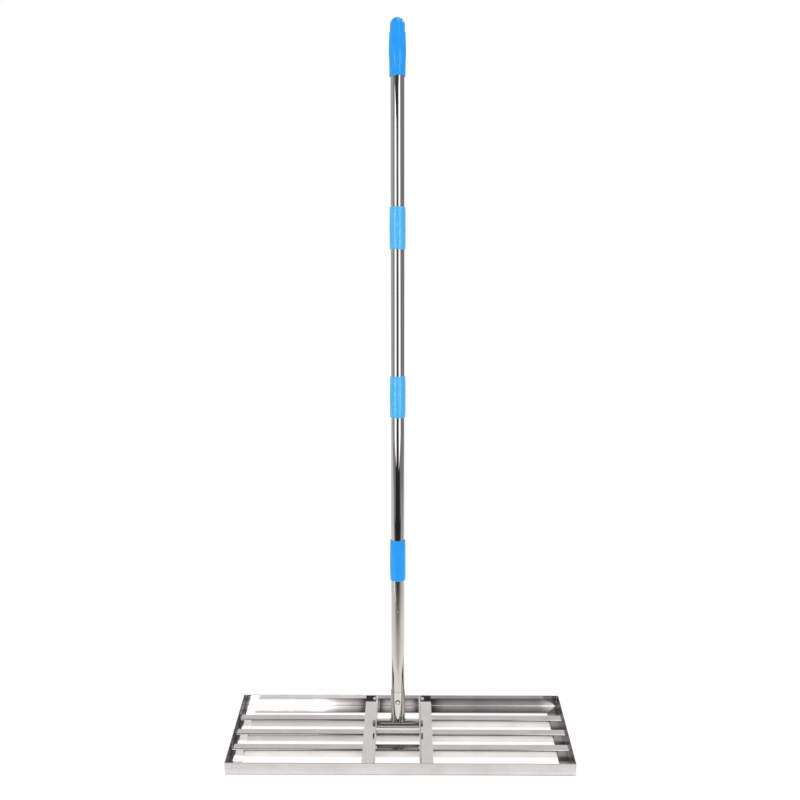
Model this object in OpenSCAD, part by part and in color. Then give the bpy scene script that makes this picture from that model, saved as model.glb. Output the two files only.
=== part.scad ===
// Lawn leveling rake: an open steel head that rides flat on the ground,
// and a pivoting handle of four tubes that screw together.
// The ground is z = 0, the front faces -y and the origin is under the middle of the front rail.

/* [Head frame] */
// Width of the head
head_w = 762; // [600:1:920]
// Depth of the head from front to rear
head_d = 254; // [236:1:300]
// Leg of the frame angle, also the height of the frame
rail_leg = 30; // [26:0.5:36]
// Sheet thickness of the frame angle
rail_t = 2.5; // [1.6:0.1:3.2]
// Outer radius of the bend in the frame angle
rail_bend = 3.5; // [3.4:0.1:8]

/* [Slats] */
// Leg of the slat angle, also the height of a slat
slat_leg = 19; // [16:0.5:24]
// Sheet thickness of a slat
slat_t = 2; // [1.2:0.1:2.6]
// Outer radius of the bend in a slat
slat_bend = 3.5; // [2.8:0.1:5]
// Front face of the rear slat, behind the middle of the head
slat_rear_y = 43; // [38:0.5:48]
// Distance from one slat to the next
slat_pitch = 54; // [46:0.5:56]
// Gap between a slat leg and the flange of the frame
slat_gap = 0.6; // [0.3:0.1:2]

/* [Yoke] */
// Width of the flat leg of the two angles that carry the pivot
yoke_leg = 30; // [27:0.5:40]
// Height of the upright leg of the yoke angles
yoke_rise = 27; // [27:0.5:36]
// Sheet thickness of the yoke angles
yoke_t = 2.5; // [2:0.1:4]
// Outer radius of the bend in the yoke angles
yoke_bend = 5; // [4.2:0.1:7]
// Clear gap between the two upright legs
yoke_gap = 97; // [80:0.5:120]
// Place of the middle of the yoke across the head
yoke_x = -6; // [-20:0.5:20]
// Corner cut off each end of an upright leg
yoke_cut = 22; // [8:0.5:22.5]

/* [Pivot] */
// Height of the pivot above the flat leg of the yoke
pivot_rise = 17; // [14.5:0.1:17.5]
// Place of the pivot behind the middle of the head
pivot_y = 3; // [-5:0.5:10]
// Diameter of the pivot bolt
bolt_d = 8; // [6:0.5:9]
// Width across the flats of the bolt head and the nut
hex_w = 13; // [12:0.5:15]
// Thickness of the bolt head
bolt_head_t = 5.3; // [4:0.1:7]
// Thickness of the locking nut
nut_t = 5; // [4:0.1:8]
// Length of bolt that stands out of the nut
bolt_end = 1; // [0.5:0.1:4]
// Outer diameter of a washer
washer_d = 15; // [14:0.5:18]
// Thickness of a washer
washer_t = 1.2; // [1:0.1:2]
// Outer diameter of the cross tube
cross_d = 21.3; // [20:0.1:23]
// Wall of the cross tube
cross_wall = 2.3; // [1.5:0.1:3]
// Thickness of the flange on a bush
bush_flange = 1; // [0.6:0.1:2]
// Length of a bush inside the cross tube
bush_len = 14; // [8:0.5:25]

/* [Handle] */
// Lean of the handle towards the rear, in degrees
handle_lean = 10.9; // [0:0.1:30]
// Outer diameter of the tubes
pole_d = 30; // [27:0.5:32]
// Wall of the tubes
pole_wall = 1; // [0.7:0.1:1.6]
// Distance along the handle from the pivot to the lowest collar
first_collar = 338; // [250:1:420]
// Distance from one collar to the next
section_pitch = 369; // [300:1:430]
// Length of bare tube between the highest collar and the grip
grip_reach = 276; // [200:1:340]

/* [Socket] */
// Wall of the socket
socket_wall = 1; // [0.8:0.1:1.5]
// Distance along the handle from the pivot to the top of the socket
socket_top = 79.5; // [72:0.5:90]
// Depth that the foot of the socket straddles the cross tube
socket_saddle = 1; // [0.6:0.1:4]
// Distance along the handle from the pivot to the foot of the lowest tube
tube_seat = 32; // [26:0.5:38]
// Distance along the handle from the pivot to the rivet
rivet_at = 57; // [50:0.5:62]
// Diameter of the rivet's shank
rivet_d = 5; // [4:0.5:6]
// Diameter of the rivet's heads
rivet_head_d = 11; // [9:0.5:12]
// Height of the rivet's heads
rivet_head_h = 4.5; // [2:0.1:5]

/* [Collars] */
// Length of a collar
collar_len = 92; // [82:0.5:110]
// Diameter of a collar at its ends
collar_end_d = 34; // [33.2:0.1:36]
// Diameter of a collar at its middle
collar_mid_d = 35.8; // [35:0.1:40]
// Rounding of a collar's rims
collar_round = 1; // [0.4:0.1:1.4]
// Depth of the sleeve that holds the tube below
sleeve_depth = 44; // [35:0.5:48]
// Depth of the mouth that takes the tube above
mouth_depth = 18; // [10:0.5:20]

/* [Threads] */
// Outer diameter of the thread on a plug
stud_d = 20; // [16:0.5:22]
// Depth of the thread
thread_depth = 1.6; // [1:0.1:2.2]
// Pitch of the thread
thread_pitch = 5; // [4:0.1:5.2]
// Length of a plug inside its tube
plug_len = 30; // [20:0.5:40]

/* [Grip] */
// Length of the sleeve of the grip, up to its step
grip_sleeve = 91; // [80:0.5:110]
// Length of the straight part at the foot of the grip, below its belly
grip_straight = 12; // [6:0.5:20]
// Diameter at the foot of the grip
grip_foot_d = 34.8; // [33:0.1:36]
// Diameter at the widest place of the grip
grip_belly_d = 38; // [37:0.1:42]
// Diameter at the step of the grip
grip_step_d = 35.4; // [34.6:0.1:36.6]
// Diameter of the domed end of the grip
grip_cap_d = 32; // [28:0.1:33.5]
// Length of the straight part of the end, below the dome
grip_cap_len = 16; // [8:0.5:24]
// Depth that the tube enters the grip
grip_depth = 84; // [60:0.5:88]

/* [Fits] */
// Clearance around a fixed part in its hole
fixed_gap = 0.05; // [0.03:0.01:0.1]
// Clearance around a turning part in its bearing
running_gap = 0.05; // [0.03:0.01:0.08]
// Clearance between parts that pass each other freely
free_gap = 0.3; // [0.2:0.05:0.5]

/* [Hidden] */
$fn = 96;
// straight steps in a long shallow arc, in the grip's belly, in a rounded rim and in the grip's dome
arc_steps = 16;
belly_steps = 32;
rim_steps = 4;
dome_steps = 24;
// overrun of a cutting shape
over = rail_leg / 10;
// share of the front rail's flange that lies in front of the origin
sole_share = 0.6;

// middle of the head, behind the origin
head_mid = head_d / 2 - sole_share * rail_leg;
rail_inside_x = head_w / 2 - rail_t;
flange_inside_x = head_w / 2 - rail_leg;
slat_leg_x = flange_inside_x - slat_gap;
yoke_len = head_d - 2 * rail_t;
yoke_half = yoke_gap / 2;
yoke_outside = yoke_half + yoke_t;
pivot_z = slat_leg + yoke_t + pivot_rise;
bolt_hole_d = bolt_d + 2 * free_gap;
clamp_x = yoke_outside + washer_t;
cross_len = yoke_gap - 2 * (bush_flange + free_gap);
cross_bore = cross_d - 2 * cross_wall;
bush_flange_d = cross_d - 2 * free_gap;
bush_bore = bolt_d + 2 * running_gap;
pole_bore = pole_d - 2 * pole_wall;
socket_bore = pole_d + 2 * fixed_gap;
socket_d = socket_bore + 2 * socket_wall;
socket_foot = cross_d / 2 - socket_saddle;
rivet_hole_d = rivet_d + 2 * fixed_gap;
sleeve_bore = pole_d + 2 * fixed_gap;
mouth_bore = pole_d + 2 * free_gap;
stud_bore = stud_d + 2 * free_gap;
stud_len = collar_len - sleeve_depth - mouth_depth - free_gap;
plug_d = pole_bore - 2 * running_gap;
turns = floor((stud_len - thread_pitch / 2) / thread_pitch);
grip_foot = first_collar + 2 * section_pitch + collar_len + grip_reach;
steel = "gainsboro";
blue = "dodgerblue";
black = "dimgray";

// distance along the handle from the pivot to the foot of collar k
function collar_foot(k) = first_collar + k * section_pitch;
// distance along the handle from the pivot to the foot of the tube above collar k
function tube_foot(k) = collar_foot(k) + collar_len - mouth_depth + free_gap;
// radius of the arc that falls by drop over the distance run
function arc_r(drop, run) = (run * run + drop * drop) / (2 * drop);
// radius of a barrel of middle radius mid and arc radius arc, at the distance run from its middle
function barrel_r(mid, arc, run) = mid - arc + sqrt(arc * arc - run * run);
// radius of the grip at a share of the way from its straight foot to its step
function grip_r(share) =
    let (base = grip_foot_d + (grip_step_d - grip_foot_d) * share)
    let (belly = grip_belly_d - (grip_foot_d + grip_step_d) / 2)
    (base + belly * (1 - cos(360 * share)) / 2) / 2;
// point of a collar's rounded rim at the given turn
function rim_point(x, y, turn) = [x + collar_round * cos(turn), y + collar_round * sin(turn)];

// section of a bent angle: wall along y, flange along x, rounded outside and inside the bend
module angle_section(flange, wall, t, bend) {
    difference() {
        union() {
            translate([bend, bend]) circle(r = bend);
            translate([bend, 0]) square([flange - bend, wall]);
            translate([0, bend]) square([flange, wall - bend]);
        }
        translate([bend, bend]) circle(r = bend - t);
        translate([bend, t]) square([flange, wall]);
        translate([t, bend]) square([flange, wall]);
    }
}

// shape drawn from the middle of the head, on the ground
module on_head() {
    translate([0, head_mid, 0]) children();
}

// shape drawn with +z along the handle, from the pivot
module on_handle(s = 0) {
    on_head() translate([yoke_x, pivot_y, pivot_z])
        rotate([-handle_lean, 0, 0])
            translate([0, 0, s]) children();
}

// shape drawn with +z across the head, along the pivot
module on_pivot(x = 0) {
    on_head() translate([yoke_x + x, pivot_y, pivot_z])
        rotate([0, 90, 0]) children();
}

// frame rail of the given length with mitred ends, wall on y = 0 and flange towards +y
module rail(len) {
    half = len / 2;
    intersection() {
        translate([-half, 0, 0])
            rotate([90, 0, 90])
                linear_extrude(len) angle_section(rail_leg, rail_leg, rail_t, rail_bend);
        linear_extrude(rail_leg)
            polygon([[-half, 0], [half, 0], [half - rail_leg, rail_leg], [rail_leg - half, rail_leg]]);
    }
}

module front_rail() {
    color(steel) on_head() translate([0, -head_d / 2, 0]) rail(head_w);
}

module rear_rail() {
    color(steel) on_head() rotate(180) translate([0, -head_d / 2, 0]) rail(head_w);
}

module left_rail() {
    color(steel) on_head() rotate(-90) translate([0, -head_w / 2, 0]) rail(head_d);
}

module right_rail() {
    color(steel) on_head() rotate(90) translate([0, -head_w / 2, 0]) rail(head_d);
}

// slat from x0 to x1 with its front face on y, its leg cut away over the flanges of the frame
module slat(x0, x1, y) {
    cut_len = rail_leg + over;
    translate([0, y, 0]) difference() {
        translate([x0, 0, slat_leg])
            rotate([90, 0, 90])
                linear_extrude(x1 - x0) mirror([0, 1])
                    angle_section(slat_leg, slat_leg, slat_t, slat_bend);
        for (x = [-slat_leg_x - cut_len, slat_leg_x])
            translate([x, -over, -over])
                cube([cut_len, slat_leg + 2 * over, slat_leg - slat_t + over]);
    }
}

module front_slat() {
    color(steel) on_head() slat(-rail_inside_x, rail_inside_x, slat_rear_y - 2 * slat_pitch);
}

module middle_slat() {
    color(steel) on_head() slat(-rail_inside_x, rail_inside_x, slat_rear_y - slat_pitch);
}

module rear_slat_left() {
    color(steel) on_head() slat(-rail_inside_x, yoke_x - yoke_outside, slat_rear_y);
}

module rear_slat_right() {
    color(steel) on_head() slat(yoke_x + yoke_outside, rail_inside_x, slat_rear_y);
}

// yoke angle with its inner face on x = 0 and its flat leg towards +x, lying on z = 0
module yoke_angle() {
    half = yoke_len / 2;
    shoulder = yoke_rise - yoke_cut;
    difference() {
        intersection() {
            translate([0, half, 0])
                rotate([90, 0, 0])
                    linear_extrude(yoke_len) angle_section(yoke_leg, yoke_rise, yoke_t, yoke_bend);
            rotate([90, 0, 90]) linear_extrude(yoke_leg) polygon([
                [-half, 0], [half, 0], [half, shoulder], [half - yoke_cut, yoke_rise],
                [yoke_cut - half, yoke_rise], [-half, shoulder]
            ]);
        }
        translate([-over, pivot_y, yoke_t + pivot_rise])
            rotate([0, 90, 0]) cylinder(d = bolt_hole_d, h = yoke_t + 2 * over);
    }
}

module left_yoke() {
    color(steel) on_head() translate([yoke_x - yoke_half, 0, slat_leg]) mirror([1, 0, 0]) yoke_angle();
}

module right_yoke() {
    color(steel) on_head() translate([yoke_x + yoke_half, 0, slat_leg]) yoke_angle();
}

// hexagon of thickness t, standing on z = 0, with its outer corners turned down
module hexagon(t) {
    corner_d = hex_w / cos(30);
    intersection() {
        cylinder(d = corner_d, h = t, $fn = 6);
        cylinder(d1 = corner_d + 2 * t, d2 = hex_w, h = t);
    }
}

module pivot_bolt() {
    shank_end = clamp_x + nut_t + bolt_end;
    color(steel) {
        on_pivot(clamp_x) hexagon(bolt_head_t);
        on_pivot(-shank_end) cylinder(d = bolt_d, h = shank_end + clamp_x + over / 2);
    }
}

module pivot_nut() {
    color(steel) on_pivot(-clamp_x) rotate([180, 0, 0]) difference() {
        hexagon(nut_t);
        translate([0, 0, -over]) cylinder(d = bolt_d + 2 * fixed_gap, h = nut_t + 2 * over);
    }
}

module pivot_washers() {
    color(steel) for (x = [-clamp_x, yoke_outside]) on_pivot(x) difference() {
        cylinder(d = washer_d, h = washer_t);
        translate([0, 0, -over]) cylinder(d = bolt_hole_d, h = washer_t + 2 * over);
    }
}

module pivot_tube() {
    color(steel) on_pivot(-cross_len / 2) difference() {
        cylinder(d = cross_d, h = cross_len);
        translate([0, 0, -over]) cylinder(d = cross_bore, h = cross_len + 2 * over);
    }
}

// bush with its flange on z = 0 and its barrel reaching down into the cross tube
module bush() {
    barrel_d = cross_bore - 2 * fixed_gap;
    difference() {
        union() {
            cylinder(d = bush_flange_d, h = bush_flange);
            translate([0, 0, -bush_len]) cylinder(d = barrel_d, h = bush_len + bush_flange / 2);
        }
        translate([0, 0, -bush_len - over]) cylinder(d = bush_bore, h = bush_len + bush_flange + 2 * over);
    }
}

module pivot_bushes() {
    color(black) {
        on_pivot(cross_len / 2) bush();
        on_pivot(-cross_len / 2) rotate([180, 0, 0]) bush();
    }
}

// tube that takes the foot of the handle, its end cut to sit across the cross tube
module socket() {
    length = socket_top - socket_foot;
    color(steel) difference() {
        on_handle(socket_foot) difference() {
            cylinder(d = socket_d, h = length);
            translate([0, 0, -over]) cylinder(d = socket_bore, h = length + 2 * over);
        }
        on_pivot(-cross_len / 2) cylinder(d = cross_d, h = cross_len);
        on_handle(rivet_at) rotate([90, 0, 0]) cylinder(d = rivet_hole_d, h = 2 * socket_d, center = true);
    }
}

module socket_rivet() {
    reach = socket_d / 2;
    head_r = rivet_head_d / 2;
    ball = arc_r(rivet_head_h, head_r);
    color(steel) on_handle(rivet_at) {
        rotate([90, 0, 0]) cylinder(d = rivet_d, h = 2 * reach + rivet_head_h, center = true);
        difference() {
            for (turn = [90, -90]) rotate([turn, 0, 0]) translate([0, 0, reach + rivet_head_h - ball])
                rotate_extrude() intersection() {
                    square([head_r, ball]);
                    circle(r = ball);
                }
            cylinder(d = socket_d + 2 * fixed_gap, h = 2 * rivet_head_d, center = true);
        }
    }
}

// plain tube between two distances along the handle
module pole(s0, s1) {
    on_handle(s0) difference() {
        cylinder(d = pole_d, h = s1 - s0);
        translate([0, 0, -over]) cylinder(d = pole_bore, h = s1 - s0 + 2 * over);
    }
}

module lower_tube() {
    color(steel) difference() {
        pole(tube_seat, collar_foot(0) + sleeve_depth);
        on_handle(rivet_at) rotate([90, 0, 0]) cylinder(d = rivet_hole_d, h = 2 * pole_d, center = true);
    }
}

module second_tube() {
    color(steel) pole(tube_foot(0), collar_foot(1) + sleeve_depth);
}

module third_tube() {
    color(steel) pole(tube_foot(1), collar_foot(2) + sleeve_depth);
}

module upper_tube() {
    color(steel) pole(tube_foot(2), grip_foot + grip_depth);
}

// outline of a collar from its axis outwards, standing on y = 0: a barrel with rounded rims
module collar_outline() {
    mid = collar_mid_d / 2;
    half = collar_len / 2;
    side = half - collar_round;
    arc = arc_r(mid - collar_end_d / 2, half);
    rim = barrel_r(mid, arc, side) - collar_round;
    polygon([
        [0, 0],
        for (i = [0 : rim_steps - 1])
            rim_point(rim, collar_round, 90 * i / rim_steps - 90),
        for (i = [0 : arc_steps])
            let (y = side * (2 * i / arc_steps - 1))
            [barrel_r(mid, arc, y), half + y],
        for (i = [1 : rim_steps])
            rim_point(rim, collar_len - collar_round, 90 * i / rim_steps),
        [0, collar_len]
    ]);
}

module collar(k) {
    on_handle(collar_foot(k)) difference() {
        rotate_extrude() collar_outline();
        translate([0, 0, -over]) cylinder(d = sleeve_bore, h = sleeve_depth + over);
        cylinder(d = stud_bore, h = collar_len);
        translate([0, 0, collar_len - mouth_depth]) cylinder(d = mouth_bore, h = mouth_depth + over);
    }
}

module lower_collar() {
    color(blue) collar(0);
}

module middle_collar() {
    color(blue) collar(1);
}

module upper_collar() {
    color(blue) collar(2);
}

// plug with its body standing on z = 0 inside the tube and its threaded stud below
module plug(k) {
    core = stud_d / 2 - thread_depth;
    crest = thread_pitch / 6;
    flank = thread_pitch / 4;
    on_handle(tube_foot(k)) {
        cylinder(d = plug_d, h = plug_len);
        rotate_extrude() polygon([
            [0, over], [core, over],
            for (i = [0 : turns - 1])
                let (y = -thread_pitch * (i + 1 / 2))
                for (p = [[core, flank + crest / 2], [stud_d / 2, crest / 2],
                          [stud_d / 2, -crest / 2], [core, -flank - crest / 2]])
                    [p[0], y + p[1]],
            [core, -stud_len], [0, -stud_len]
        ]);
    }
}

module lower_plug() {
    color(black) plug(0);
}

module middle_plug() {
    color(black) plug(1);
}

module upper_plug() {
    color(black) plug(2);
}

// outline of the grip from its axis outwards: a bellied sleeve, a step and a domed end
module grip_outline() {
    cap = grip_cap_d / 2;
    above = grip_sleeve - grip_straight;
    polygon([
        [0, 0], [grip_foot_d / 2, 0],
        for (i = [0 : belly_steps])
            let (share = i / belly_steps)
            [grip_r(share), grip_straight + above * share],
        [cap, grip_sleeve],
        for (i = [0 : dome_steps - 1])
            let (turn = 90 * i / dome_steps)
            [cap * cos(turn), grip_sleeve + grip_cap_len + cap * sin(turn)],
        [0, grip_sleeve + grip_cap_len + cap]
    ]);
}

module grip() {
    color(blue) on_handle(grip_foot) difference() {
        rotate_extrude() grip_outline();
        translate([0, 0, -over]) cylinder(d = sleeve_bore, h = grip_depth + over);
    }
}

front_rail();
rear_rail();
left_rail();
right_rail();
front_slat();
middle_slat();
rear_slat_left();
rear_slat_right();
left_yoke();
right_yoke();
pivot_bolt();
pivot_nut();
pivot_washers();
pivot_tube();
pivot_bushes();
socket();
socket_rivet();
lower_tube();
second_tube();
third_tube();
upper_tube();
lower_collar();
middle_collar();
upper_collar();
lower_plug();
middle_plug();
upper_plug();
grip();
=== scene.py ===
# Lawn leveling rake: materials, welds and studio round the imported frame
import math

import bmesh
import bpy
from mathutils import Matrix, Vector


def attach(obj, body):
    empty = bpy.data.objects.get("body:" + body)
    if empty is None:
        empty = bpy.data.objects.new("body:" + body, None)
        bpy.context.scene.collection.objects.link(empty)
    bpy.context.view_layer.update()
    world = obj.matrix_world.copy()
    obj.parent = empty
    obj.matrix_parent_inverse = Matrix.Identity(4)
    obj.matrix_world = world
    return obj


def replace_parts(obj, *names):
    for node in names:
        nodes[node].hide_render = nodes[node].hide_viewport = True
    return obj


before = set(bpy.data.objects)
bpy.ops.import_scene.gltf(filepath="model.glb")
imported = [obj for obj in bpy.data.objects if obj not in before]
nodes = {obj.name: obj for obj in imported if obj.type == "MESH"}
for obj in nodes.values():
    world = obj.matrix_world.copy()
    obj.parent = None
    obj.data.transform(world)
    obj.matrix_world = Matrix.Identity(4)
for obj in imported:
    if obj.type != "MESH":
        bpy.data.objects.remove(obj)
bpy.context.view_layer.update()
scene = bpy.context.scene
mm = 0.001

# the handle's own axes: +z runs up the pole from the pivot
handle = {"pivot": Vector((-6, 112, 38.5)) * mm, "lean": math.radians(10.9)}
handleFrame = Matrix.Translation(handle["pivot"]) @ Matrix.Rotation(-handle["lean"], 4, "X")


def srgb(hexText):
    parts = [int(hexText[i:i + 2], 16) / 255 for i in (0, 2, 4)]
    return [c / 12.92 if c <= 0.04045 else ((c + 0.055) / 1.055) ** 2.4 for c in parts] + [1.0]


def grey(shade):
    return (shade, shade, shade, 1.0)


def add(tree, kind, values=None, links=None):
    made = tree.nodes.new(kind)
    for key, value in (values or {}).items():
        if isinstance(key, int) or key in made.inputs:
            made.inputs[key].default_value = value
        else:
            setattr(made, key, value)
    for key, source in (links or {}).items():
        tree.links.new(source, made.inputs[key])
    return made


def newMaterial(name):
    made = bpy.data.materials.new(name)
    made.use_nodes = True
    made.node_tree.nodes.clear()
    return made, made.node_tree


def rampStops(ramp, stops):
    # a stop is a place and a colour, which is an sRGB hex value or a grey
    line = ramp.color_ramp
    while len(line.elements) < len(stops):
        line.elements.new(0.5)
    for spot, (place, colour) in zip(line.elements, stops):
        spot.position = place
        spot.color = srgb(colour) if isinstance(colour, str) else grey(colour)


def greysAlong(tree, source, stops):
    # greys at the places that the source runs through
    first, last = stops[0][0], stops[-1][0]
    along = add(tree, "ShaderNodeMapRange", {"From Min": first, "From Max": last}, {"Value": source})
    greys = add(tree, "ShaderNodeValToRGB", None, {0: along.outputs[0]})
    rampStops(greys, [((at - first) / (last - first), shade) for at, shade in stops])
    return greys.outputs[0]


def poleAxes(tree):
    # places on the handle, turned so that z runs up the pole
    place = add(tree, "ShaderNodeTexCoord").outputs["Object"]
    leaned = add(tree, "ShaderNodeMapping", {"Rotation": (handle["lean"], 0, 0)}, {"Vector": place})
    return leaned.outputs[0]


# faces of the head in mm: inside of the walls, fronts and tops of the slats, legs and flats of the yokes
head = {"wallX": 378.5, "rearY": 233.5, "frontY": -15.5, "railTop": 30, "slatY": (44, 98, 152),
        "slatTop": 19, "yokeMid": -6, "legIn": 48.5, "legOut": 51, "flatOut": 78.5, "flatTop": 21.5}

# Bright rolled stainless sheet, bent and welded: a pale mirror a little hazed by handling, with fine
# rolling lines along the strip, slow dents, painted shade in grey bands across each strip, darker towards
# the bends, and pale matt sheared edges; the lines are drawn coarser than real ones so that they show
sheet = {"tones": [(0.35, "f3f0ef"), (0.7, "e7e2df")], "smudge": 55, "lineGap": 1.4, "lineRun": 60,
         "lineHeight": 0.004, "dent": 110, "dentHeight": 0.35, "edgeFacing": 0.6, "edgeRough": 0.55}
plainStrip = {"edge": head["railTop"] - 1, "rough": (0.05, 0.15), "bow": 0.0, "grazing": False}
# painted shade: the share of light it leaves at places in mm up the section, over its bend or from side to
# side
upIt, overIt, sideways = (0, 0, 1), (0, 1, 1), (1, 0, 0)
# painted shade on the slats: the face darkens upwards, with a light line at 17 mm and a dark line along the
# bend
slatFilm = [(0, 1.0), (7, 0.97), (12, 0.8), (16, 0.62), (16.8, 0.62), (16.9, 1.0), (17.1, 1.0),
            (17.2, 0.62), (18, 0.62), (18.15, 0.3), (18.9, 0.3), (19, 0.72)]
strips = {
    # the front rail's dark foot is a painted contact shadow
    "stainlessFrontRail": {
        "on": ["front_rail"], "grain": "X", "across": upIt, "grazing": True,
        "paintedShade": [(0, 0.25), (2.6, 0.3), (3.6, 0.84), (8, 0.82), (14, 0.72), (24, 0.65), (30, 0.65)]},
    "stainlessRearRail": {
        "on": ["rear_rail"], "grain": "X", "across": overIt,
        "paintedShade": [(208, 0.5), (216, 0.72), (228, 0.95), (236, 1.0), (246, 0.78), (255, 0.5), (257, 1.0),
                 (266, 1.0)]},
    "stainlessLeftRail": {
        "on": ["left_rail"], "grain": "Y", "across": sideways, "grazing": True,
        "paintedShade": [(-381, 0.9), (-380.8, 0.9), (-380.6, 0.28), (-377, 0.26), (-375, 1.0), (-351, 1.0)]},
    # the right rail's painted shade is darker all over than the left rail's
    "stainlessRightRail": {
        "on": ["right_rail"], "grain": "Y", "across": sideways, "rough": (0.18, 0.3),
        "paintedShade": [(351, 0.42), (374, 0.36), (378, 0.45), (378.6, 0.45), (378.8, 0.12), (380.7, 0.12),
                 (380.8, 0.9), (381, 0.9)]},
    "stainlessSlats": {
        "on": ["middle_slat", "rear_slat_left", "rear_slat_right"], "grain": "X", "across": upIt,
        "paintedShade": slatFilm},
    "stainlessBowedSlat": {
        "on": ["front_slat"], "grain": "X", "across": upIt, "paintedShade": slatFilm, "bow": 0.105},
    "stainlessYokes": {
        "on": ["left_yoke", "right_yoke"], "grain": "Y", "across": upIt, "edge": head["flatTop"] + 1,
        "paintedShade": [(19, 0.8), (21.5, 0.84), (46, 0.9)]},
}


def steelSheet(name, strip):
    material, tree = newMaterial(name)
    place = add(tree, "ShaderNodeTexCoord").outputs["Object"]
    spot = add(tree, "ShaderNodeSeparateXYZ", None, {0: place})
    sizes = [sheet["lineRun"] if letter == strip["grain"] else sheet["lineGap"] for letter in "XYZ"]
    rolled = add(tree, "ShaderNodeMapping", {"Scale": [1 / (size * mm) for size in sizes]},
                 {"Vector": place})
    lines = add(tree, "ShaderNodeTexNoise", {"Scale": 1.0, "Detail": 2.0}, {"Vector": rolled.outputs[0]})
    smudge = add(tree, "ShaderNodeTexNoise", {
        "Scale": 1 / (sheet["smudge"] * mm), "Detail": 5.0, "Roughness": 0.6}, {"Vector": place})
    dents = add(tree, "ShaderNodeTexNoise", {"Scale": 1 / (sheet["dent"] * mm), "Detail": 1.0},
                {"Vector": place})
    tone = add(tree, "ShaderNodeValToRGB", None, {0: smudge.outputs[0]})
    rampStops(tone, sheet["tones"])
    # painted shade: greys across the strip's section multiply its tone
    reach = add(tree, "ShaderNodeVectorMath", {"operation": "DOT_PRODUCT", 1: strip["across"]}, {0: place})
    shade = greysAlong(tree, reach.outputs["Value"], [(at * mm, left) for at, left in strip["paintedShade"]])
    colour = add(tree, "ShaderNodeMix", {"data_type": "RGBA", "blend_type": "MULTIPLY", 0: 1.0},
                 {6: tone.outputs[0], 7: shade})
    low, high = strip["rough"]
    rough = add(tree, "ShaderNodeMapRange", {
        "From Min": 0.35, "From Max": 0.75, "To Min": low, "To Max": high}, {"Value": smudge.outputs[0]})
    # a sheared edge looks upwards and lies above the flat of the strip
    normal = add(tree, "ShaderNodeNewGeometry").outputs["Normal"]
    facing = add(tree, "ShaderNodeSeparateXYZ", None, {0: normal})
    upward = add(tree, "ShaderNodeMath", {"operation": "GREATER_THAN", 1: sheet["edgeFacing"]},
                 {0: facing.outputs["Z"]})
    above = add(tree, "ShaderNodeMath", {"operation": "GREATER_THAN", 1: strip["edge"] * mm},
                {0: spot.outputs["Z"]})
    edge = add(tree, "ShaderNodeMath", {"operation": "MULTIPLY"},
               {0: upward.outputs[0], 1: above.outputs[0]})
    finish = add(tree, "ShaderNodeMix", {"data_type": "FLOAT", 3: sheet["edgeRough"]},
                 {0: edge.outputs[0], 2: rough.outputs[0]})
    # a strip that its welds have pulled bows back a little, which shows only in what it mirrors
    bowed = add(tree, "ShaderNodeBump", {"Strength": 1.0, "Distance": strip["bow"], "invert": True},
                {"Height": spot.outputs["Y"]})
    warped = add(tree, "ShaderNodeBump", {"Strength": 1.0, "Distance": sheet["dentHeight"] * mm},
                 {"Height": dents.outputs[0], "Normal": bowed.outputs[0]})
    ruled = add(tree, "ShaderNodeBump", {"Strength": 1.0, "Distance": sheet["lineHeight"] * mm},
                {"Height": lines.outputs[0], "Normal": warped.outputs[0]})
    shader = add(tree, "ShaderNodeBsdfPrincipled", {"Metallic": 1.0}, {
        "Base Color": colour.outputs[2], "Roughness": finish.outputs[0], "Normal": ruled.outputs[0]})
    # the painted shade dims the mirror at a grazing angle as well
    if strip["grazing"]:
        tree.links.new(shade, shader.inputs["Specular Tint"])
    add(tree, "ShaderNodeOutputMaterial", None, {"Surface": shader.outputs[0]})
    return material


# Mirror polished stainless tube: sharp streaks of the lamps, faint rings left by the polishing belt
# and a light haze where hands have been; the foot of the handle is tinted faintly warm, a painted
# reflection;
# the rings are drawn coarser than real ones so that they show
tube = {"bright": "cecccb", "paintedWarmth": "cac6bf", "rough": (0.02, 0.07), "haze": 70, "ring": (36, 36, 3),
        "ringHeight": 0.0006}


def polishedTube(name, colour):
    material, tree = newMaterial(name)
    place = poleAxes(tree)
    belt = add(tree, "ShaderNodeMapping", {"Scale": [1 / (size * mm) for size in tube["ring"]]},
               {"Vector": place})
    rings = add(tree, "ShaderNodeTexNoise", {"Scale": 1.0, "Detail": 2.0}, {"Vector": belt.outputs[0]})
    haze = add(tree, "ShaderNodeTexNoise", {
        "Scale": 1 / (tube["haze"] * mm), "Detail": 5.0, "Roughness": 0.6}, {"Vector": place})
    low, high = tube["rough"]
    rough = add(tree, "ShaderNodeMapRange", {
        "From Min": 0.4, "From Max": 0.75, "To Min": low, "To Max": high}, {"Value": haze.outputs[0]})
    bump = add(tree, "ShaderNodeBump", {"Strength": 1.0, "Distance": tube["ringHeight"] * mm},
               {"Height": rings.outputs[0]})
    shader = add(tree, "ShaderNodeBsdfPrincipled", {"Metallic": 1.0, "Base Color": srgb(colour)}, {
        "Roughness": rough.outputs[0], "Normal": bump.outputs[0]})
    add(tree, "ShaderNodeOutputMaterial", None, {"Surface": shader.outputs[0]})
    return material


# Small hardware, softly cloudy: aged zinc plate on the bolt, nut and washers, a brownish grey duller than
# the steel, and aluminium on the rivet, coloured a frosty white that paints in its glint, with painted
# shade round its foot; the grit is drawn coarser than real so that it shows
hardware = {"cloud": 5, "grit": 0.8, "gritHeight": 0.02, "rough": (0.3, 0.5)}
platings = {
    "agedZincPlate": {"tones": [(0.3, "7d7771"), (0.7, "a8a29c")], "metal": 1.0, "shadedFoot": False},
    "paintedGlintAluminium": {"tones": [(0.3, "e6e4e1"), (0.7, "f8f7f5")], "metal": 0.4, "shadedFoot": True},
}
# painted shade darkens the rivet round its foot, between two distances from its crown, which is given in
# the handle's axes
grime = {"colour": "3d3833", "from": 3.4, "to": 4.8, "crown": (0, -20.55, 57)}


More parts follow.
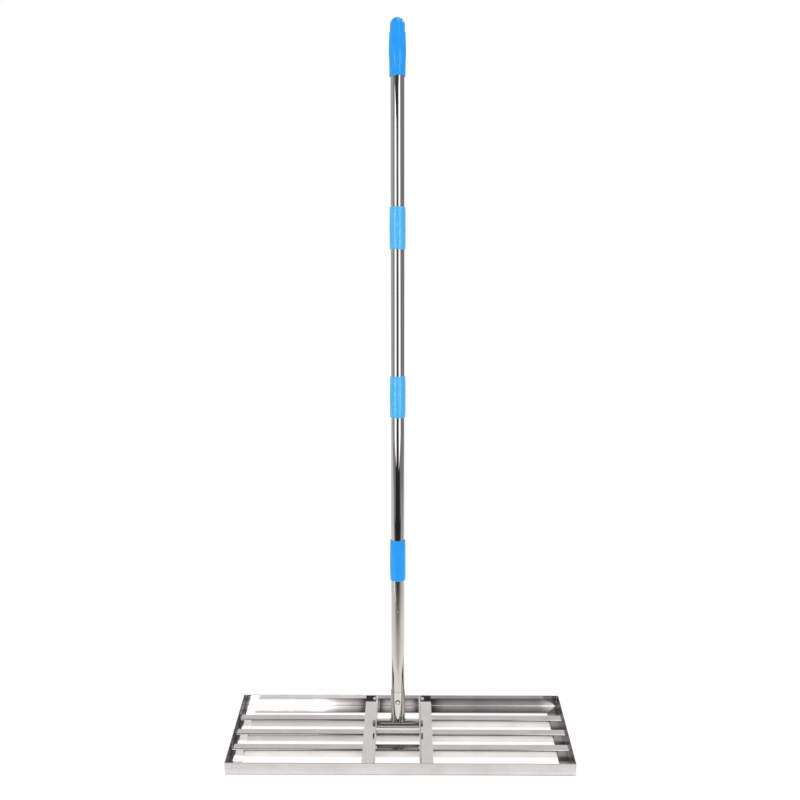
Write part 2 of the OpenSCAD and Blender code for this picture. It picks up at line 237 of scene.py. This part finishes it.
def smallMetal(name):
    plating = platings[name]
    material, tree = newMaterial(name)
    place = add(tree, "ShaderNodeTexCoord").outputs["Object"]
    cloud = add(tree, "ShaderNodeTexNoise", {"Scale": 1 / (hardware["cloud"] * mm), "Detail": 4.0},
                {"Vector": place})
    grit = add(tree, "ShaderNodeTexNoise", {"Scale": 1 / (hardware["grit"] * mm), "Detail": 2.0},
               {"Vector": place})
    tone = add(tree, "ShaderNodeValToRGB", None, {0: cloud.outputs[0]})
    rampStops(tone, plating["tones"])
    colour = tone.outputs[0]
    # painted shade round the rivet's foot
    if plating["shadedFoot"]:
        crown = handleFrame @ (Vector(grime["crown"]) * mm)
        away = add(tree, "ShaderNodeVectorMath", {"operation": "DISTANCE", 1: crown}, {0: place})
        dirt = add(tree, "ShaderNodeMapRange", {
            "From Min": grime["from"] * mm, "From Max": grime["to"] * mm}, {"Value": away.outputs["Value"]})
        colour = add(tree, "ShaderNodeMix", {"data_type": "RGBA", 7: srgb(grime["colour"])},
                     {0: dirt.outputs[0], 6: colour}).outputs[2]
    low, high = hardware["rough"]
    rough = add(tree, "ShaderNodeMapRange", {
        "From Min": 0.3, "From Max": 0.7, "To Min": low, "To Max": high}, {"Value": cloud.outputs[0]})
    bump = add(tree, "ShaderNodeBump", {"Strength": 1.0, "Distance": hardware["gritHeight"] * mm},
               {"Height": grit.outputs[0]})
    shader = add(tree, "ShaderNodeBsdfPrincipled", {"Metallic": plating["metal"]}, {
        "Base Color": colour, "Roughness": rough.outputs[0], "Normal": bump.outputs[0]})
    add(tree, "ShaderNodeOutputMaterial", None, {"Surface": shader.outputs[0]})
    return material


# Moulded polypropylene, gloss finish: clear saturated blue with a soft sheen under a glossy skin that
# mirrors the lamps, slow flow clouds and pale scuffs
plastic = {"flow": (22, 22, 66), "skin": 1.6, "skinHeight": 0.003, "scratch": (7, 7, 28), "scuffing": 0.35,
           "rough": (0.26, 0.34), "ior": 1.49, "gloss": 0.07}
# the grip and the lowest collar are the deeper blue; the two collars between them are a lit copy of the
# same
# plastic: painted light makes them paler, and a fuller coat shinier
blues = {
    "glossBluePolypropylene": {"tones": [(0.3, "009cff"), (0.7, "02a7ff")], "scuff": "34b6ff", "coat": 0.3},
    # painted light: the paler blue of the middle and upper collars
    "litCopyBluePolypropylene": {"tones": [(0.3, "3cb7ff"), (0.7, "4cc1ff")], "scuff": "78d0ff", "coat": 1.0},
}


def mouldedBlue(name):
    hues = blues[name]
    material, tree = newMaterial(name)
    place = poleAxes(tree)
    drawn = add(tree, "ShaderNodeMapping", {"Scale": [1 / (size * mm) for size in plastic["flow"]]},
                {"Vector": place})
    flow = add(tree, "ShaderNodeTexNoise", {"Scale": 1.0, "Detail": 3.0}, {"Vector": drawn.outputs[0]})
    skin = add(tree, "ShaderNodeTexNoise", {"Scale": 1 / (plastic["skin"] * mm), "Detail": 2.0},
               {"Vector": place})
    rubbed = add(tree, "ShaderNodeMapping", {"Scale": [1 / (size * mm) for size in plastic["scratch"]]},
                 {"Vector": place})
    nick = add(tree, "ShaderNodeTexNoise", {"Scale": 1.0, "Detail": 6.0, "Roughness": 0.75},
               {"Vector": rubbed.outputs[0]})
    tone = add(tree, "ShaderNodeValToRGB", None, {0: flow.outputs[0]})
    rampStops(tone, hues["tones"])
    worn = add(tree, "ShaderNodeMapRange", {
        "From Min": 0.66, "From Max": 0.78, "To Max": plastic["scuffing"]}, {"Value": nick.outputs[0]})
    colour = add(tree, "ShaderNodeMix", {"data_type": "RGBA", 7: srgb(hues["scuff"])},
                 {0: worn.outputs[0], 6: tone.outputs[0]})
    low, high = plastic["rough"]
    rough = add(tree, "ShaderNodeMapRange", {
        "From Min": 0.3, "From Max": 0.75, "To Min": low, "To Max": high}, {"Value": nick.outputs[0]})
    bump = add(tree, "ShaderNodeBump", {"Strength": 1.0, "Distance": plastic["skinHeight"] * mm},
               {"Height": skin.outputs[0]})
    shader = add(tree, "ShaderNodeBsdfPrincipled", {
        "IOR": plastic["ior"], "Coat Weight": hues["coat"], "Coat Roughness": plastic["gloss"],
        "Coat IOR": plastic["ior"]}, {
        "Base Color": colour.outputs[2], "Roughness": rough.outputs[0], "Normal": bump.outputs[0]})
    add(tree, "ShaderNodeOutputMaterial", None, {"Surface": shader.outputs[0]})
    return material


# Black nylon, moulded: satin, almost no colour, a little grey dust from rubbing
nylon = {"tones": [(0.45, "17181a"), (0.75, "3a3b3d")], "grain": 2.0, "grainHeight": 0.02,
         "rough": (0.35, 0.6), "ior": 1.53}


def mouldedNylon(name):
    material, tree = newMaterial(name)
    place = add(tree, "ShaderNodeTexCoord").outputs["Object"]
    grain = add(tree, "ShaderNodeTexNoise", {"Scale": 1 / (nylon["grain"] * mm), "Detail": 4.0},
                {"Vector": place})
    tone = add(tree, "ShaderNodeValToRGB", None, {0: grain.outputs[0]})
    rampStops(tone, nylon["tones"])
    low, high = nylon["rough"]
    rough = add(tree, "ShaderNodeMapRange", {"To Min": low, "To Max": high}, {"Value": grain.outputs[0]})
    bump = add(tree, "ShaderNodeBump", {"Strength": 1.0, "Distance": nylon["grainHeight"] * mm},
               {"Height": grain.outputs[0]})
    shader = add(tree, "ShaderNodeBsdfPrincipled", {"IOR": nylon["ior"]}, {
        "Base Color": tone.outputs[0], "Roughness": rough.outputs[0], "Normal": bump.outputs[0]})
    add(tree, "ShaderNodeOutputMaterial", None, {"Surface": shader.outputs[0]})
    return material


# TIG weld: on the yokes a frosty white, which paints in the glint of the shiny beads, with patches of straw
# coloured oxide, and brushed, it is bare grey metal with darker patches; the oxide is rougher than the
# bright metal
weld = {"patch": 4, "oxideRough": 0.7, "brightRough": 0.5}
# painted highlight: the near white of the yoke welds stands in for their glint
welds = {"paintedGlintTigWeld": {"tones": [(0.35, "dcd6cd"), (0.6, "f8f7f4")], "metal": 0.4},
         "brushedTigWeld": {"tones": [(0.35, "8f8a84"), (0.6, "b9b5b0")], "metal": 1.0}}


def weldMetal(name):
    material, tree = newMaterial(name)
    place = add(tree, "ShaderNodeTexCoord").outputs["Object"]
    patch = add(tree, "ShaderNodeTexNoise", {"Scale": 1 / (weld["patch"] * mm), "Detail": 4.0},
                {"Vector": place})
    tone = add(tree, "ShaderNodeValToRGB", None, {0: patch.outputs[0]})
    rampStops(tone, welds[name]["tones"])
    rough = add(tree, "ShaderNodeMapRange", {"To Min": weld["oxideRough"], "To Max": weld["brightRough"]},
                {"Value": patch.outputs[0]})
    shader = add(tree, "ShaderNodeBsdfPrincipled", {"Metallic": welds[name]["metal"]}, {
        "Base Color": tone.outputs[0], "Roughness": rough.outputs[0]})
    add(tree, "ShaderNodeOutputMaterial", None, {"Surface": shader.outputs[0]})
    return material


def dress(material, *names):
    for name in names:
        data = nodes[name].data
        data.materials.clear()
        data.materials.append(material)


for name, strip in strips.items():
    dress(steelSheet(name, {**plainStrip, **strip}), *strip["on"])
dress(polishedTube("polishedStainlessTube", tube["bright"]), "second_tube", "third_tube", "upper_tube")
# painted reflection: the lowest tube, the socket and the pivot tube are tinted warm
dress(polishedTube("paintedReflectionStainlessTube", tube["paintedWarmth"]), "lower_tube", "socket", "pivot_tube")
dress(smallMetal("agedZincPlate"), "pivot_bolt", "pivot_nut", "pivot_washers")
dress(smallMetal("paintedGlintAluminium"), "socket_rivet")
blue, paleBlue = [mouldedBlue(name) for name in blues]
dress(blue, "lower_collar", "grip")
# painted light: the middle and upper collars get the lit copy of the blue
dress(paleBlue, "middle_collar", "upper_collar")
dress(mouldedNylon("blackNylon"), "lower_plug", "middle_plug", "upper_plug", "pivot_bushes")
frostyWeld, brushedWeld = [weldMetal(name) for name in welds]
print("materials:", len(bpy.data.materials))


def addPiece(name, mesh, body, material):
    made = bpy.data.objects.new(name, mesh)
    scene.collection.objects.link(made)
    mesh.materials.append(material)
    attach(made, body)
    return made


# Fluted mouldings: a turned profile with shallow hollows pressed in round its middle
fluted = {"flutes": 8, "depth": 0.75, "share": 0.56, "fade": 7, "sides": 128, "merge": 0.01, "crease": 40}
collar = {"length": 92, "endR": 17, "midR": 17.9, "rim": 1.0, "sleeveR": 15.05, "sleeve": 44,
          "studR": 10.3, "mouthR": 15.3, "mouth": 18, "fluteFrom": 20, "fluteTo": 73,
          "at": (338, 707, 1076), "arcSteps": 24, "rimSteps": 5}
grip = {"foot": 1444, "sleeve": 91, "straight": 12, "footR": 17.4, "bellyR": 19, "stepR": 17.7,
        "capR": 16, "cap": 16, "boreR": 15.05, "depth": 84, "fluteFrom": 22, "fluteTo": 71,
        "bellySteps": 48, "domeSteps": 18}


def hollow(angle, s, start, stop):
    pitch = 2 * math.pi / fluted["flutes"]
    off = (angle + pitch / 2) % pitch - pitch / 2
    across = abs(off) / (pitch * fluted["share"] / 2)
    ends = min(s - start, stop - s) / fluted["fade"]
    if across >= 1 or ends <= 0:
        return 0.0
    ends = min(ends, 1.0)
    return fluted["depth"] * math.cos(across * math.pi / 2) ** 2 * ends * ends * (3 - 2 * ends)


def loft(name, rings):
    # closed skin through rings of points given in the handle's own axes, in mm
    bm = bmesh.new()
    made = [[bm.verts.new(Vector(point) * mm) for point in ring] for ring in rings]
    count = len(rings[0])
    for low, high in zip(made, made[1:] + made[:1]):
        for k in range(count):
            bm.faces.new((low[k], low[(k + 1) % count], high[(k + 1) % count], high[k]))
    bmesh.ops.remove_doubles(bm, verts=bm.verts, dist=fluted["merge"] * mm)
    bmesh.ops.recalc_face_normals(bm, faces=bm.faces)
    bm.transform(handleFrame)
    mesh = bpy.data.meshes.new(name)
    bm.to_mesh(mesh)
    bm.free()
    mesh.shade_smooth()
    mesh.set_sharp_from_angle(angle=math.radians(fluted["crease"]))
    return mesh


def turned(name, profile, start, stop, foot):
    # a point of the profile is a radius, a height and whether the flutes may press it in
    angles = [2 * math.pi * k / fluted["sides"] for k in range(fluted["sides"])]
    rings = []
    for r, s, outside in profile:
        ring = []
        for angle in angles:
            reach = r - (hollow(angle, s, start, stop) if outside else 0)
            ring.append((reach * math.sin(angle), -reach * math.cos(angle), foot + s))
        rings.append(ring)
    return loft(name, rings)


def arcPoints(r0, r1, s0, s1, crest, steps):
    # barrel arc from (r0, s0) to (r1, s1), whose widest place is at the end named by crest
    drop, run = abs(r1 - r0), s1 - s0
    arc = (run * run + drop * drop) / (2 * drop)
    points = []
    for i in range(steps + 1):
        s = s0 + run * i / steps
        away = s1 - s if crest == "top" else s - s0
        points.append((max(r0, r1) - arc + math.sqrt(arc * arc - away * away), s, True))
    return points


def roundRim(r, s, radius, start, steps):
    points = []
    for i in range(steps + 1):
        angle = start + math.pi / 2 * i / steps
        points.append((r + radius * math.cos(angle), s + radius * math.sin(angle), True))
    return points


def collarProfile():
    length, rim, rimSteps, arcSteps = [collar[key] for key in ("length", "rim", "rimSteps", "arcSteps")]
    endR, midR, rimR = collar["endR"], collar["midR"], collar["endR"] - rim
    points = roundRim(rimR, rim, rim, -math.pi / 2, rimSteps)
    points += arcPoints(endR, midR, 0, length / 2, "top", arcSteps)[1:]
    points += arcPoints(midR, endR, length / 2, length, "foot", arcSteps)[1:-1]
    points += roundRim(rimR, length - rim, rim, 0, rimSteps)
    shelf = length - collar["mouth"]
    bore = [(collar["mouthR"], length), (collar["mouthR"], shelf), (collar["studR"], shelf),
            (collar["studR"], collar["sleeve"]), (collar["sleeveR"], collar["sleeve"]),
            (collar["sleeveR"], 0)]
    return points + [(r, s, False) for r, s in bore]


def gripProfile():
    footR, stepR, capR, sleeve = [grip[key] for key in ("footR", "stepR", "capR", "sleeve")]
    capTop = sleeve + grip["cap"]
    bulge = grip["bellyR"] - (footR + stepR) / 2
    points = [(footR, 0, True)]
    for i in range(grip["bellySteps"] + 1):
        share = i / grip["bellySteps"]
        base = footR + (stepR - footR) * share
        s = grip["straight"] + (sleeve - grip["straight"]) * share
        points.append((base + bulge * (1 - math.cos(2 * math.pi * share)) / 2, s, True))
    points.append((capR, sleeve, False))
    for i in range(grip["domeSteps"] + 1):
        angle = math.pi / 2 * i / grip["domeSteps"]
        points.append((capR * math.cos(angle), capTop + capR * math.sin(angle), False))
    bore = [(0, grip["depth"]), (grip["boreR"], grip["depth"]), (grip["boreR"], 0)]
    return points + [(r, s, False) for r, s in bore]


bodies = ("lower_section", "second_section", "third_section")
for which, body, foot in zip(("lower", "middle", "upper"), bodies, collar["at"]):
    mesh = turned(which + "CollarFluted", collarProfile(), collar["fluteFrom"], collar["fluteTo"], foot)
    skin = blue if which == "lower" else paleBlue
    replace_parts(addPiece(which + "CollarFluted", mesh, body, skin), which + "_collar")
gripMesh = turned("gripFluted", gripProfile(), grip["fluteFrom"], grip["fluteTo"], grip["foot"])
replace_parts(addPiece("gripFluted", gripMesh, "top_section", blue), "grip")
print("fluted mouldings: 3 collars and the grip")

# Weld beads: smooth fillets laid in the corner between two faces, thinner at their ends, a little hollow
# across their face and a touch thicker along the run; full, taper, endSize and throat are shares of the leg
bead = {"steps": 6, "section": 6, "full": 0.904, "growthPerMetre": 0.3351, "taper": 0.9, "endSize": 0.35,
        "throat": 0.62}
# where each kind of bead starts and stops along its corner, and the nominal length of its legs, in mm
fillets = {"slatEnd": (3, 17, 2.6), "yokeEnd": (1, 11, 5.0), "yokeLeg": (4, 13, 2.6),
           "yokeFlat": (5, 15, 2.2), "corner": (6, 29, 2.2), "socket": (-4.5, 4.5, 2.6)}
socketFoot = {"wall": 15.9, "seat": 10.0}
up = (0, 0, 1)


def layBead(bm, start, end, sideA, sideB, leg):
    run = end - start
    rows = []
    for i in range(bead["steps"] + 1):
        t = i / bead["steps"]
        s = t * run.length
        taper = min(1.0, min(s, run.length - s) / (leg * bead["taper"]))
        size = leg * (bead["endSize"] + (1 - bead["endSize"]) * math.sqrt(max(taper, 0.0)))
        size *= bead["full"] + bead["growthPerMetre"] * s
        row = []
        for k in range(bead["section"] + 1):
            turn = math.pi / 2 * k / bead["section"]
            flat = size * (bead["throat"] + (1 - bead["throat"]) * abs(math.cos(2 * turn)))
            out = (sideA * math.cos(turn) + sideB * math.sin(turn)) * flat
            row.append(bm.verts.new(start + run * t + out))
        row.append(bm.verts.new(start + run * t))
        rows.append(row)
    count = bead["section"] + 2
    for low, high in zip(rows, rows[1:]):
        for k in range(count):
            bm.faces.new((low[k], low[(k + 1) % count], high[(k + 1) % count], high[k]))
    bm.faces.new(rows[0])
    bm.faces.new(reversed(rows[-1]))


def weldPiece(name, beads, body, material, place=None):
    bm = bmesh.new()
    for start, end, sideA, sideB, leg in beads:
        layBead(bm, Vector(start) * mm, Vector(end) * mm, Vector(sideA), Vector(sideB), leg * mm)
    bmesh.ops.recalc_face_normals(bm, faces=bm.faces)
    if place:
        bm.transform(place)
    mesh = bpy.data.meshes.new(name)
    bm.to_mesh(mesh)
    bm.free()
    mesh.shade_smooth()
    addPiece(name, mesh, body, material)


def beadBack(kind, x, y, z, side):
    # runs back from y, in the corner of a level face and a face that looks along x
    start, stop, leg = fillets[kind]
    return ((x, y + start, z), (x, y + stop, z), (side, 0, 0), up, leg)


endWalls = ((head["rearY"], -1), (head["frontY"], 1))
slatWelds = []
for y in head["slatY"]:
    for side in (-1, 1):
        slatWelds.append(beadBack("slatEnd", side * head["wallX"], y, head["slatTop"], -side))
weldPiece("slatEndWelds", slatWelds, "head", brushedWeld)
yokeWelds = []
for side in (-1, 1):
    legOut, legIn, flatOut = [head["yokeMid"] + side * head[key] for key in ("legOut", "legIn", "flatOut")]
    start, stop, leg = fillets["yokeEnd"]
    for y, away in endWalls:
        near, far = [(legOut + side * reach, y, head["flatTop"]) for reach in (start, stop)]
        yokeWelds.append((near, far, (0, away, 0), up, leg))
    for y in head["slatY"][:2]:  # the rear row is open between the yokes
        yokeWelds.append(beadBack("yokeLeg", legIn, y, head["slatTop"], -side))
    for y in head["slatY"]:
        yokeWelds.append(beadBack("yokeFlat", flatOut, y, head["slatTop"], side))
weldPiece("yokeWelds", yokeWelds, "head", frostyWeld)
cornerWelds = []
for side in (-1, 1):
    x = side * head["wallX"]
    start, stop, leg = fillets["corner"]
    for y, away in endWalls:
        cornerWelds.append(((x, y, start), (x, y, stop), (-side, 0, 0), (0, away, 0), leg))
weldPiece("cornerWelds", cornerWelds, "head", brushedWeld)
footWelds = []
for side in (-1, 1):
    footWelds.append(beadBack("socket", side * socketFoot["wall"], 0, socketFoot["seat"], side))
weldPiece("socketWeld", footWelds, "lower_section", brushedWeld, handleFrame)
print("welds:", len(slatWelds) + len(yokeWelds) + len(cornerWelds) + len(footWelds), "beads")

# Studio: white floor and backdrop, three softboxes, and grey cards that polished steel mirrors
studio = {"floor": "f2f2f0", "paperSeen": 0.1, "floorSeen": 1.08, "poolAt": (0.0, 0.11, 0.0),
          "floorGlow": [(0.4, 0.42), (0.9, 0.14)], "fill": 0.7, "skyMirrored": 0.82, "skySeen": 1.0}


def byRay(tree, plain, mirrored, seen):
    # one shader for the light on things, one for what steel mirrors and one for the camera
    path = add(tree, "ShaderNodeLightPath")
    bounced = add(tree, "ShaderNodeMath", {"operation": "MAXIMUM"},
                  {0: path.outputs["Is Glossy Ray"], 1: path.outputs["Is Transmission Ray"]})
    unseen = add(tree, "ShaderNodeMixShader", None,
                 {0: bounced.outputs[0], 1: plain.outputs[0], 2: mirrored.outputs[0]})
    both = add(tree, "ShaderNodeMixShader", None,
               {0: path.outputs["Is Camera Ray"], 1: unseen.outputs[0], 2: seen.outputs[0]})
    return both.outputs[0]


world = bpy.data.worlds.new("studioWhite")
scene.world = world
world.use_nodes = True
tree = world.node_tree
tree.nodes.clear()
skies = [add(tree, "ShaderNodeBackground", {"Color": grey(1.0), "Strength": studio[key]})
         for key in ("fill", "skyMirrored", "skySeen")]
add(tree, "ShaderNodeOutputWorld", None, {"Surface": byRay(tree, *skies)})

floorPaper, tree = newMaterial("matteWhitePaper")
paper = add(tree, "ShaderNodeBsdfDiffuse", {"Color": srgb(studio["floor"])})
# a pool of light round the head, which only mirrored rays see
place = add(tree, "ShaderNodeTexCoord").outputs["Object"]
away = add(tree, "ShaderNodeVectorMath", {"operation": "DISTANCE", 1: studio["poolAt"]}, {0: place})
pool = greysAlong(tree, away.outputs["Value"], studio["floorGlow"])
glow = add(tree, "ShaderNodeEmission", {"Strength": 1.0}, {"Color": pool})
lit = add(tree, "ShaderNodeAddShader", None, {0: paper.outputs[0], 1: glow.outputs[0]})
bright = add(tree, "ShaderNodeEmission", {"Color": grey(1.0), "Strength": studio["floorSeen"]})
faint = add(tree, "ShaderNodeMixShader", {0: studio["paperSeen"]},
            {1: bright.outputs[0], 2: paper.outputs[0]})
add(tree, "ShaderNodeOutputMaterial", None, {"Surface": byRay(tree, paper, lit, faint)})


def stagePlane(name, corners, material):
    mesh = bpy.data.meshes.new(name)
    mesh.from_pydata(corners, [], [list(range(len(corners)))])
    mesh.materials.append(material)
    made = bpy.data.objects.new(name, mesh)
    scene.collection.objects.link(made)
    return made


def upright(x0, y0, x1, y1, z0, z1):
    return [(x0, y0, z0), (x1, y1, z0), (x1, y1, z1), (x0, y0, z1)]


def slope(x0, x1, y0, z0, y1, z1):
    return [(x0, y0, z0), (x1, y0, z0), (x1, y1, z1), (x0, y1, z1)]


def level(x0, x1, y0, y1, z):
    return slope(x0, x1, y0, z, y1, z)


# the paper ends in front of the camera, and the studio beyond it is dark
room = {"wall": 4.0, "front": -5.0, "back": 14.0, "ceiling": 4.5, "ceilingMid": -2.4, "ceilingBack": 1.5,
        "paperFront": -0.75, "paperEnd": 30}
wall, front, back, ceiling = [room[key] for key in ("wall", "front", "back", "ceiling")]
paperFront, paperEnd = room["paperFront"], room["paperEnd"]
stagePlane("floor", level(-paperEnd, paperEnd, paperFront, paperEnd, 0), floorPaper)

# each card: its corners, the axis that its grey changes along, and the greys at places along it
cards = {
    "frontCard": (upright(-wall, front, wall, front, 0, ceiling), "Z",
                  [(0.6, 0.03), (1.6, 0.11), (2.7, 0.13), (3.3, 0.16), (3.7, 0.06)]),
    "darkFloor": (level(-wall, wall, front, paperFront, 0), "Y",
                  [(-5, 0.04), (-3.15, 0.07), (-1.88, 0.29), (-1.3, 0.56), (-0.75, 0.72)]),
    "rightFloor": (level(1.1, wall, paperFront, back, 0.002), "X", [(1.1, 0.8), (2.2, 0.42), (3.3, 0.27)]),
    "ceilingCard": (level(-wall, wall, front, room["ceilingMid"], ceiling), "Y",
                    [(-5, 0.16), (-2.4, 0.16)]),
    "overheadCard": (level(-wall, wall, room["ceilingMid"], room["ceilingBack"], ceiling), "X",
                     [(0.05, 0.16), (0.2, 1.6), (0.75, 1.6), (1.0, 4.5), (1.2, 4.5), (1.3, 0.16)]),
    "leftCard": (upright(-wall, front, -wall, back, 0, ceiling), "Y",
                 [(-2, 0.3), (-0.8, 0.33), (0.3, 0.56), (14, 0.5)]),
    "rightCard": (upright(wall, front, wall, back, 0, ceiling), "Y", [(0, 0.28), (14, 0.25)]),
    "kickerCard": (slope(-0.5, 0.5, -0.2, 0.256, -0.1, 0.274), "X",
                   [(-0.24, 3.6), (-0.19, 1.5), (-0.14, 0.9), (-0.12, 0.6), (-0.11, 0.05), (-0.06, 0.05),
                    (-0.05, 0.85), (0.03, 0.75), (0.04, 0.05), (0.095, 0.05), (0.105, 0.42), (0.4, 0.46),
                    (0.43, 0.9), (0.46, 0.9), (0.49, 0.5)]),
    "rearGapCard": (level(-0.13, 0.36, 0.172, 0.215, 0.0015), "X",
                    [(-0.13, 0.8), (-0.05, 0.45), (0.1, 0.34), (0.36, 0.34)]),
    "gapCard": (level(-0.35, -0.06, 0.066, 0.235, 0.0015), "X", [(-0.35, 0.76), (-0.06, 0.76)]),
}
# small reflectors under the left ends of the slats, which the flange below them mirrors; front and back
# are measured from the front of the slat
endCard = {"left": -0.3765, "right": -0.351, "front": 0.0005, "back": 0.0185, "z": 0.0165, "glow": 1.25}
for k, y in enumerate(head["slatY"]):
    under = level(endCard["left"], endCard["right"], y * mm + endCard["front"], y * mm + endCard["back"],
                  endCard["z"])
    cards["endCard" + str(k)] = (under, "X", [(endCard[end], endCard["glow"]) for end in ("left", "right")])
for name, (corners, axis, greys) in cards.items():
    board, tree = newMaterial(name + "Grey")
    place = add(tree, "ShaderNodeTexCoord").outputs["Object"]
    spot = add(tree, "ShaderNodeSeparateXYZ", None, {0: place})
    tone = greysAlong(tree, spot.outputs[axis], greys)
    glow = add(tree, "ShaderNodeEmission", {"Strength": 1.0}, {"Color": tone})
    add(tree, "ShaderNodeOutputMaterial", None, {"Surface": glow.outputs[0]})
    card = stagePlane(name, corners, board)
    card.visible_camera = card.visible_diffuse = card.visible_shadow = False

softboxes = {
    "leftSoftbox": {"at": (-1.231, -1.504, 1.48), "aim": (0.649, 0.76, 0.0), "size": (1.12, 1.65),
                    "level": 1.9},
    "rightSoftbox": {"at": (2.499, -3.499, 2.09), "aim": (-0.574, 0.819, 0.0), "size": (2.29, 2.86),
                     "level": 1.9},
    "rimSoftbox": {"at": (2.7, 2.1, 3.3), "aim": (-0.752, -0.469, -0.463), "size": (0.6, 0.8),
                   "level": 14.0},
}
for name, box in softboxes.items():
    lamp = bpy.data.lights.new(name, "AREA")
    lamp.shape = "RECTANGLE"
    lamp.size, lamp.size_y = box["size"]
    lamp.energy = box["level"] * math.pi * lamp.size * lamp.size_y
    holder = bpy.data.objects.new(name, lamp)
    scene.collection.objects.link(holder)
    holder.location = box["at"]
    holder.rotation_euler = Vector(box["aim"]).to_track_quat("-Z", "Y").to_euler()
    holder.visible_camera = False

# Camera, fitted to the corners of the head in the photograph; focal and picture are in pixels
shot = {"at": (0.0162, -1.7062, 1.3436), "yaw": -0.499, "pitch": 16.292, "roll": -0.126, "focal": 919.7,
        "picture": 800, "sensor": 36}


def spin(degrees, axis):
    return Matrix.Rotation(math.radians(degrees), 4, axis)


lens = bpy.data.cameras.new("photoCamera")
lens.sensor_width = shot["sensor"]
lens.lens = shot["focal"] / shot["picture"] * lens.sensor_width
camera = bpy.data.objects.new("photoCamera", lens)
scene.collection.objects.link(camera)
aim = spin(-shot["yaw"], "Z") @ spin(90 - shot["pitch"], "X")
camera.matrix_world = Matrix.Translation(shot["at"]) @ aim @ spin(shot["roll"], "Z")
scene.camera = camera
scene.view_settings.view_transform = "Standard"
print("studio and camera set")
